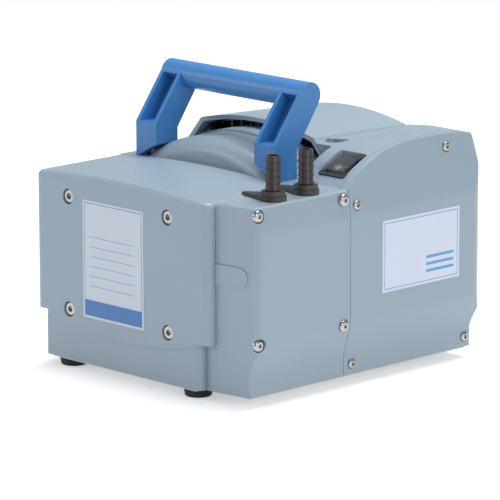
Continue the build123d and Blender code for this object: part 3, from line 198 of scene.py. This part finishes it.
def metal(name, colour, pattern_mm, roughness, stretch=(1.0, 1.0, 1.0), bump=0.1):
    """A bare metal with a machined, rolled or cast surface. Its pattern may be drawn out along one axis."""
    material, tree = blank(name)
    place = node(tree, "ShaderNodeTexCoord")
    turned = node(tree, "ShaderNodeMapping", {"Scale": stretch}, {"Vector": place.outputs["Object"]})
    grain = node(
        tree,
        "ShaderNodeTexNoise",
        {"Scale": 1.0 / (pattern_mm * MM), "Detail": 4.0, "Roughness": 0.6},
        {"Vector": turned.outputs["Vector"]},
    )
    base = linear(colour)
    dark = [c * 0.86 for c in base[:3]] + [1.0]
    tint = node(tree, "ShaderNodeMix", {"data_type": "RGBA", 6: dark, 7: base}, {0: grain.outputs["Fac"]})
    shine = node(
        tree,
        "ShaderNodeMapRange",
        {"To Min": roughness * 0.8, "To Max": roughness * 1.25},
        {"Value": grain.outputs["Fac"]},
    )
    relief = node(
        tree,
        "ShaderNodeBump",
        {"Strength": bump, "Distance": pattern_mm * MM * 0.2},
        {"Height": grain.outputs["Fac"]},
    )
    shader = node(
        tree,
        "ShaderNodeBsdfPrincipled",
        {"Metallic": 1.0},
        {
            "Base Color": tint.outputs[2],
            "Roughness": shine.outputs["Result"],
            "Normal": relief.outputs["Normal"],
        },
    )
    node(tree, "ShaderNodeOutputMaterial", None, {"Surface": shader.outputs[0]})
    return material


def clear_polycarbonate():
    """Clear moulded polycarbonate: a thin cap that shows what is under it, with a faint haze."""
    material, tree = blank("clear_polycarbonate")
    place = node(tree, "ShaderNodeTexCoord")
    haze = node(
        tree,
        "ShaderNodeTexNoise",
        {"Scale": 1.0 / (3.0 * MM), "Detail": 2.0},
        {"Vector": place.outputs["Object"]},
    )
    shine = node(tree, "ShaderNodeMapRange", {"To Min": 0.05, "To Max": 0.12}, {"Value": haze.outputs["Fac"]})
    shader = node(
        tree,
        "ShaderNodeBsdfPrincipled",
        {"Base Color": linear("#F6F8F9"), "Transmission Weight": 1.0, "IOR": 1.12, "Alpha": 0.3},
        {"Roughness": shine.outputs["Result"]},
    )
    node(tree, "ShaderNodeOutputMaterial", None, {"Surface": shader.outputs[0]})
    return material


def make_finishes(colours):
    """Every finish, keyed by the record's material slot."""
    return {
        # integral-skin polyurethane case with a sprayed texture lacquer: even, silky, faintly pebbled
        "shell": moulded("lacquered_polyurethane_case", colours.case, 0.9, 0.36, 0.10, 0.025, coat=0.12),
        # cast motor barrel with the same lacquer, a little coarser
        "barrel": moulded("lacquered_aluminium_casting", "#8C9BA6", 1.6, 0.45, 0.2, 0.05),
        # glass-filled nylon: saturated blue with a satin moulded skin
        "handle": moulded("glass_filled_nylon_blue", colours.handle, 0.7, 0.34, 0.10, 0.03, coat=0.1),
        # glass-filled polypropylene: brown-black and slightly shiny on its barbs
        "nozzle": moulded("glass_filled_polypropylene_black", colours.nozzle, 0.5, 0.36, 0.15, 0.06),
        # injection-moulded ABS with a satin black skin
        "black_plastic": moulded("moulded_abs_black", "#22252A", 0.6, 0.34, 0.1, 0.05),
        # nitrile rubber: dull black, dusted at the bench
        "rubber": moulded("nitrile_rubber", "#17181A", 0.8, 0.7, 0.3, 0.1),
        # white fluoropolymer, machined from bar
        "fluoropolymer": moulded("machined_fluoropolymer", "#E4E3DD", 0.6, 0.42, 0.08, 0.03),
        # zinc-plated or stainless screws and turned steel: bright, with fine turning marks
        "steel": metal("zinc_plated_steel", "#B4B3B1", 0.5, 0.24, bump=0.05),
        # sand-cast and shot-blasted aluminium
        "cast_aluminium": metal("blasted_cast_aluminium", "#B9BBBE", 0.8, 0.46, bump=0.3),
        # stacked laminations, seen as fine lines across the shaft
        "core_steel": metal("laminated_electrical_steel", "#5A5E66", 1.0, 0.42, (0.05, 1.0, 0.05), 0.4),
        # varnished copper winding wire
        "copper": metal("enamelled_copper_wire", "#B0612F", 1.2, 0.34, (0.3, 1.0, 0.3), 0.5),
        "clear_plastic": clear_polycarbonate(),
    }


class PUMP_OT_finishes(bpy.types.Operator):
    """Give every CAD piece the finish of the real one"""

    bl_idname = "pump.finishes"
    bl_label = "Finishes"

    def execute(self, context):
        made = make_finishes(context.scene.pump_colours)
        slots = {part["node"]: part["material_slot"] for part in frame["record"]["subparts"]}
        for name, piece in frame["nodes"].items():
            piece.data.materials.clear()
            piece.data.materials.append(made[slots[name]])
        return {"FINISHED"}


# ---------------------------------------------------------------- modelling helpers
def deselect_everything():
    """Clears the selection and leaves edit mode."""
    if bpy.context.object and bpy.context.object.mode != "OBJECT":
        bpy.ops.object.mode_set(mode="OBJECT")
    bpy.ops.object.select_all(action="DESELECT")


def start_sheet(name, width, height):
    """A flat sheet in its own X and Y, centred on the origin, left in edit mode with all of it selected."""
    deselect_everything()
    bpy.ops.mesh.primitive_plane_add(size=1.0)
    sheet = bpy.context.object
    sheet.name = name
    bpy.ops.object.mode_set(mode="EDIT")
    bpy.ops.mesh.select_all(action="SELECT")
    bpy.ops.transform.resize(value=(width, height, 1.0))
    return sheet


def cut_sheet(axis, places):
    """Cuts the sheet being edited with straight lines across one of its axes."""
    normal = (1, 0, 0) if axis == 0 else (0, 1, 0)
    for place in places:
        bpy.ops.mesh.select_all(action="SELECT")
        point = (place, 0, 0) if axis == 0 else (0, place, 0)
        bpy.ops.mesh.bisect(plane_co=point, plane_no=normal)


def paint_faces(sheet, rule):
    """Gives each face of the edited sheet the material number that a rule finds from its middle."""
    bpy.ops.object.mode_set(mode="OBJECT")
    for face in sheet.data.polygons:
        face.material_index = rule(face.center.x, face.center.y)
    bpy.ops.object.mode_set(mode="EDIT")


def on_border(x, y, half_w, half_h, line):
    """Whether a point is on the printed border that runs inside these half sizes."""
    on_side = half_w - line < abs(x) < half_w and abs(y) < half_h
    on_end = half_h - line < abs(y) < half_h and abs(x) < half_w
    return on_side or on_end


def thicken(piece, depth):
    """Makes an edited sheet a film of a real thickness whose printed face points up."""
    bpy.ops.object.mode_set(mode="OBJECT")
    solidify = piece.modifiers.new("film", "SOLIDIFY")
    solidify.thickness = depth
    solidify.offset = -1.0
    bpy.ops.object.modifier_apply(modifier=solidify.name)


def settle(piece, place, body):
    """Bakes a piece's place into its mesh and hangs it on a CAD body."""
    deselect_everything()
    piece.data.transform(place)
    piece.data.update()
    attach(piece, body)


# ---------------------------------------------------------------- plate and panel
def front_place(x, z, lift):
    """Where a sheet's middle goes on the front cover, with its printed face towards -Y."""
    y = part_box("front_cover")[0].y - lift
    return Matrix.Translation((x, y, z)) @ Matrix.Rotation(radians(90), 4, "X")


def side_place(y, z, lift):
    """Where a sheet's middle goes on the right side lid, with its printed face towards +X."""
    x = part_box("right_side_lid")[1].x + lift
    turn = Matrix(((0, 0, 1, 0), (1, 0, 0, 0), (0, 1, 0, 0), (0, 0, 0, 1)))
    return Matrix.Translation((x, y, z)) @ turn


class PUMP_OT_rating_plate(bpy.types.Operator):
    """Make the blank rating plate: a printed border, ruled lines and a coloured foot"""

    bl_idname = "pump.rating_plate"
    bl_label = "Rating plate"

    def execute(self, context):
        sizes, colours = context.scene.pump_sizes, context.scene.pump_colours
        width, height = sizes.plate_width, sizes.plate_height
        half_w, half_h = width / 2, height / 2
        plate = start_sheet("rating_plate", width, height)
        line = BORDER_LINE
        field = (-half_w + ROW_LEFT_MARGIN, half_w - ROW_RIGHT_MARGIN)
        band_top = -half_h + sizes.band_height
        rows = [half_h - (ROW_TOP + ROW_PITCH * number) * MM for number in range(ROW_COUNT)]
        inner_w, inner_h = half_w - BORDER_INSET, half_h - BORDER_INSET
        cut_sheet(0, [-inner_w, -inner_w + line, *field, inner_w - line, inner_w])
        cut_sheet(1, [-inner_h, -inner_h + line, band_top, inner_h - line, inner_h])
        cut_sheet(1, [y for row in rows for y in (row, row + ROW_THICKNESS)])

        def ink(x, y):
            on_band = -inner_h < y < band_top and abs(x) < inner_w
            on_row = any(row < y < row + ROW_THICKNESS for row in rows) and field[0] < x < field[1]
            return 1 if on_border(x, y, inner_w, inner_h, line) or on_band or on_row else 0

        paint_faces(plate, ink)
        thicken(plate, sizes.film)
        silver = moulded("silvered_polyester_film", colours.plate, 0.4, 0.28, 0.04, 0.02, coat=0.2)
        blue = moulded("screen_printed_ink_blue", colours.ink, 0.4, 0.4, 0.04, 0.02)
        plate.data.materials.append(silver)
        plate.data.materials.append(blue)
        middle_x = -sizes.plate_left + half_w
        settle(plate, front_place(middle_x, sizes.plate_foot + half_h, sizes.film), "housing")
        return {"FINISHED"}


class PUMP_OT_side_panel(bpy.types.Operator):
    """Make the pale blank panel on the right side lid, with a printed border and three plain bars"""

    bl_idname = "pump.side_panel"
    bl_label = "Side panel"

    def execute(self, context):
        sizes, colours = context.scene.pump_sizes, context.scene.pump_colours
        width, height = sizes.panel_width, sizes.panel_height
        half_w, half_h = width / 2, height / 2
        panel = start_sheet("side_panel", width, height)
        line = PANEL_LINE
        inner_w, inner_h = half_w - PANEL_INSET, half_h - PANEL_INSET
        bars = [-half_h + foot for foot in BAR_FEET]
        start, end = half_w - BAR_START, half_w - BAR_END
        cut_sheet(0, [-inner_w, -inner_w + line, start, end, inner_w - line, inner_w])
        cut_sheet(1, [-inner_h, -inner_h + line, inner_h - line, inner_h])
        cut_sheet(1, [y for low in bars for y in (low, low + BAR_HEIGHT)])

        def ink(x, y):
            on_bar = any(low < y < low + BAR_HEIGHT for low in bars) and start < x < end
            return 1 if on_border(x, y, inner_w, inner_h, line) or on_bar else 0

        paint_faces(panel, ink)
        thicken(panel, sizes.film)
        pale = moulded("pale_polyester_film", colours.panel, 0.4, 0.36, 0.04, 0.015)
        blue = moulded("screen_printed_ink_light_blue", colours.bars, 0.4, 0.4, 0.04, 0.02)
        panel.data.materials.append(pale)
        panel.data.materials.append(blue)
        settle(panel, side_place(PANEL_MIDDLE_Y, PANEL_MIDDLE_Z, sizes.film), "housing")
        return {"FINISHED"}


# ---------------------------------------------------------------- switch marks
def start_bar():
    """The on mark: a thin bar with softened edges, left in edit mode."""
    bpy.ops.mesh.primitive_cube_add(size=1.0)
    bpy.ops.object.mode_set(mode="EDIT")
    bpy.ops.mesh.select_all(action="SELECT")
    bpy.ops.transform.resize(value=(0.7 * MM, 4.0 * MM, 0.16 * MM))
    bpy.ops.mesh.bevel(offset=0.05 * MM, segments=2)


def start_ring():
    """The off mark: a flattened ring, left in edit mode."""
    bpy.ops.mesh.primitive_torus_add(
        major_radius=1.9 * MM, minor_radius=0.38 * MM, major_segments=40, minor_segments=10
    )
    bpy.ops.object.mode_set(mode="EDIT")
    bpy.ops.mesh.select_all(action="SELECT")
    bpy.ops.transform.resize(value=(1.0, 1.0, 0.22))


class PUMP_OT_switch_marks(bpy.types.Operator):
    """Print the on bar and the off ring on the rocker's two wings"""

    bl_idname = "pump.switch_marks"
    bl_label = "Switch marks"

    def execute(self, context):
        white = moulded("pad_printed_ink_white", "#E8E8E6", 0.4, 0.4, 0.03, 0.02)
        low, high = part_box("switch_rocker")
        middle_x = (low.x + high.x) / 2
        pin = next(joint["pos_m"] for joint in frame["joints"] if joint["name"] == "rocker_tilt")
        on_pin = Matrix.Translation((middle_x, pin[1], pin[2])) @ Matrix.Rotation(SWITCH_SLOPE, 4, "X")
        marks = (
            ("on_mark", start_bar, ON_ALONG, ON_UP, ON_TILT),
            ("off_mark", start_ring, OFF_ALONG, OFF_UP, OFF_TILT),
        )
        for name, start, along, up, tilt in marks:
            deselect_everything()
            start()
            bpy.ops.object.mode_set(mode="OBJECT")
            mark = bpy.context.object
            mark.name = name
            mark.data.materials.append(white)
            place = on_pin @ Matrix.Translation((0, along, up)) @ Matrix.Rotation(tilt, 4, "X")
            settle(mark, place, "rocker")
        return {"FINISHED"}


# ---------------------------------------------------------------- stage
def area_lamp(name, location, watts, colour):
    """A square softbox at a place, turned to face the pump."""
    deselect_everything()
    bpy.ops.object.light_add(type="AREA", location=location)
    lamp = bpy.context.object
    lamp.name = name
    lamp.data.shape = "SQUARE"
    lamp.data.size = LAMP_WIDTH
    lamp.data.energy = watts
    lamp.data.color = linear(colour)[:3]
    lamp.rotation_euler = (Vector(LAMP_TARGET) - Vector(location)).to_track_quat("-Z", "Y").to_euler()


def white_where_seen(tree, surface, strength):
    """Adds plain white where a surface is seen straight on, in a mirror or through glass."""
    path = node(tree, "ShaderNodeLightPath")
    seen = path.outputs["Is Camera Ray"]
    for other in ("Is Glossy Ray", "Is Transmission Ray"):
        either = node(tree, "ShaderNodeMath", {"operation": "MAXIMUM"}, {0: seen, 1: path.outputs[other]})
        seen = either.outputs[0]
    level = node(tree, "ShaderNodeMath", {"operation": "MULTIPLY", 1: strength}, {0: seen})
    glow = node(tree, "ShaderNodeEmission", {"Color": (1, 1, 1, 1)}, {"Strength": level.outputs[0]})
    return node(tree, "ShaderNodeAddShader", None, {0: surface, 1: glow.outputs[0]})


class PUMP_OT_stage(bpy.types.Operator):
    """Make the pale floor, the soft studio light and the camera"""

    bl_idname = "pump.stage"
    bl_label = "Studio"

    def execute(self, context):
        deselect_everything()
        bpy.ops.mesh.primitive_plane_add(size=14.0, location=(0, 0, 0))
        floor = bpy.context.object
        floor.name = "studio_floor"
        material, tree = blank("matt_white_paper")
        paper = node(tree, "ShaderNodeBsdfDiffuse", {"Color": linear("#F4F5F6")})
        mixed = white_where_seen(tree, paper.outputs[0], FILL)
        node(tree, "ShaderNodeOutputMaterial", None, {"Surface": mixed.outputs[0]})
        floor.data.materials.append(material)
        world = bpy.data.worlds.new("studio")
        context.scene.world = world
        world.use_nodes = True
        tree = world.node_tree
        tree.nodes.clear()
        path = node(tree, "ShaderNodeLightPath")
        fill = node(tree, "ShaderNodeBackground", {"Color": linear("#F2F5FA"), "Strength": FILL})
        white = node(tree, "ShaderNodeBackground", {"Color": (1, 1, 1, 1), "Strength": 1.0})
        both = node(
            tree,
            "ShaderNodeMixShader",
            None,
            {0: path.outputs["Is Camera Ray"], 1: fill.outputs[0], 2: white.outputs[0]},
        )
        node(tree, "ShaderNodeOutputWorld", None, {"Surface": both.outputs[0]})
        area_lamp("overhead_softbox", (0.0, 0.35, 1.4), 18.5, "#FFFFFF")
        area_lamp("left_softbox", (-1.2, -1.5, 0.8), 7.6, "#FBFCFF")
        area_lamp("right_softbox", (1.7, -0.4, 0.7), 8.2, "#FFFFFF")
        place_camera(context)
        context.scene.view_settings.view_transform = "Standard"
        return {"FINISHED"}


def place_camera(context):
    """A long lens at the pump's front right corner, a little above it."""
    azimuth, elevation, roll = radians(CAMERA_AZIMUTH), radians(CAMERA_ELEVATION), radians(CAMERA_ROLL)
    back = Vector((sin(azimuth) * cos(elevation), -cos(azimuth) * cos(elevation), sin(elevation)))
    right = Vector((cos(azimuth), sin(azimuth), 0.0))
    up = back.cross(right)
    right, up = right * cos(roll) + up * sin(roll), up * cos(roll) - right * sin(roll)
    bpy.ops.object.camera_add()
    camera = bpy.context.object
    camera.name = "studio_camera"
    turn = Matrix((right, up, back)).transposed().to_4x4()
    camera.matrix_world = Matrix.Translation(CAMERA_PLACE) @ turn
    camera.data.lens = CAMERA_LENS
    camera.data.sensor_width = CAMERA_SENSOR
    camera.data.clip_end = 100.0
    context.scene.camera = camera


# ---------------------------------------------------------------- panel and registration
class PUMP_PT_panel(bpy.types.Panel):
    """Lists the pump's steps and settings"""

    bl_idname = "PUMP_PT_panel"
    bl_label = "Vacuum pump"
    bl_space_type = "VIEW_3D"
    bl_region_type = "UI"
    bl_category = "Vacuum pump"

    def draw(self, context):
        for step in STEPS:
            self.layout.operator(step.bl_idname)
        for group in (context.scene.pump_sizes, context.scene.pump_colours):
            for name in group.__annotations__:
                self.layout.prop(group, name)


STEPS = (PUMP_OT_finishes, PUMP_OT_rating_plate, PUMP_OT_side_panel, PUMP_OT_switch_marks, PUMP_OT_stage)
CLASSES = (PumpSizes, PumpColours, *STEPS, PUMP_PT_panel)


def register():
    """Adds the classes and the scene's settings."""
    for each in CLASSES:
        bpy.utils.register_class(each)
    bpy.types.Scene.pump_sizes = bpy.props.PointerProperty(type=PumpSizes)
    bpy.types.Scene.pump_colours = bpy.props.PointerProperty(type=PumpColours)


def unregister():
    """Removes the settings and the classes."""
    del bpy.types.Scene.pump_colours
    del bpy.types.Scene.pump_sizes
    for each in reversed(CLASSES):
        bpy.utils.unregister_class(each)


def main():
    """Builds the whole scene."""
    register()
    bpy.ops.pump.finishes()
    bpy.ops.pump.rating_plate()
    bpy.ops.pump.side_panel()
    bpy.ops.pump.switch_marks()
    bpy.ops.pump.stage()


if __name__ == "__main__":
    main()
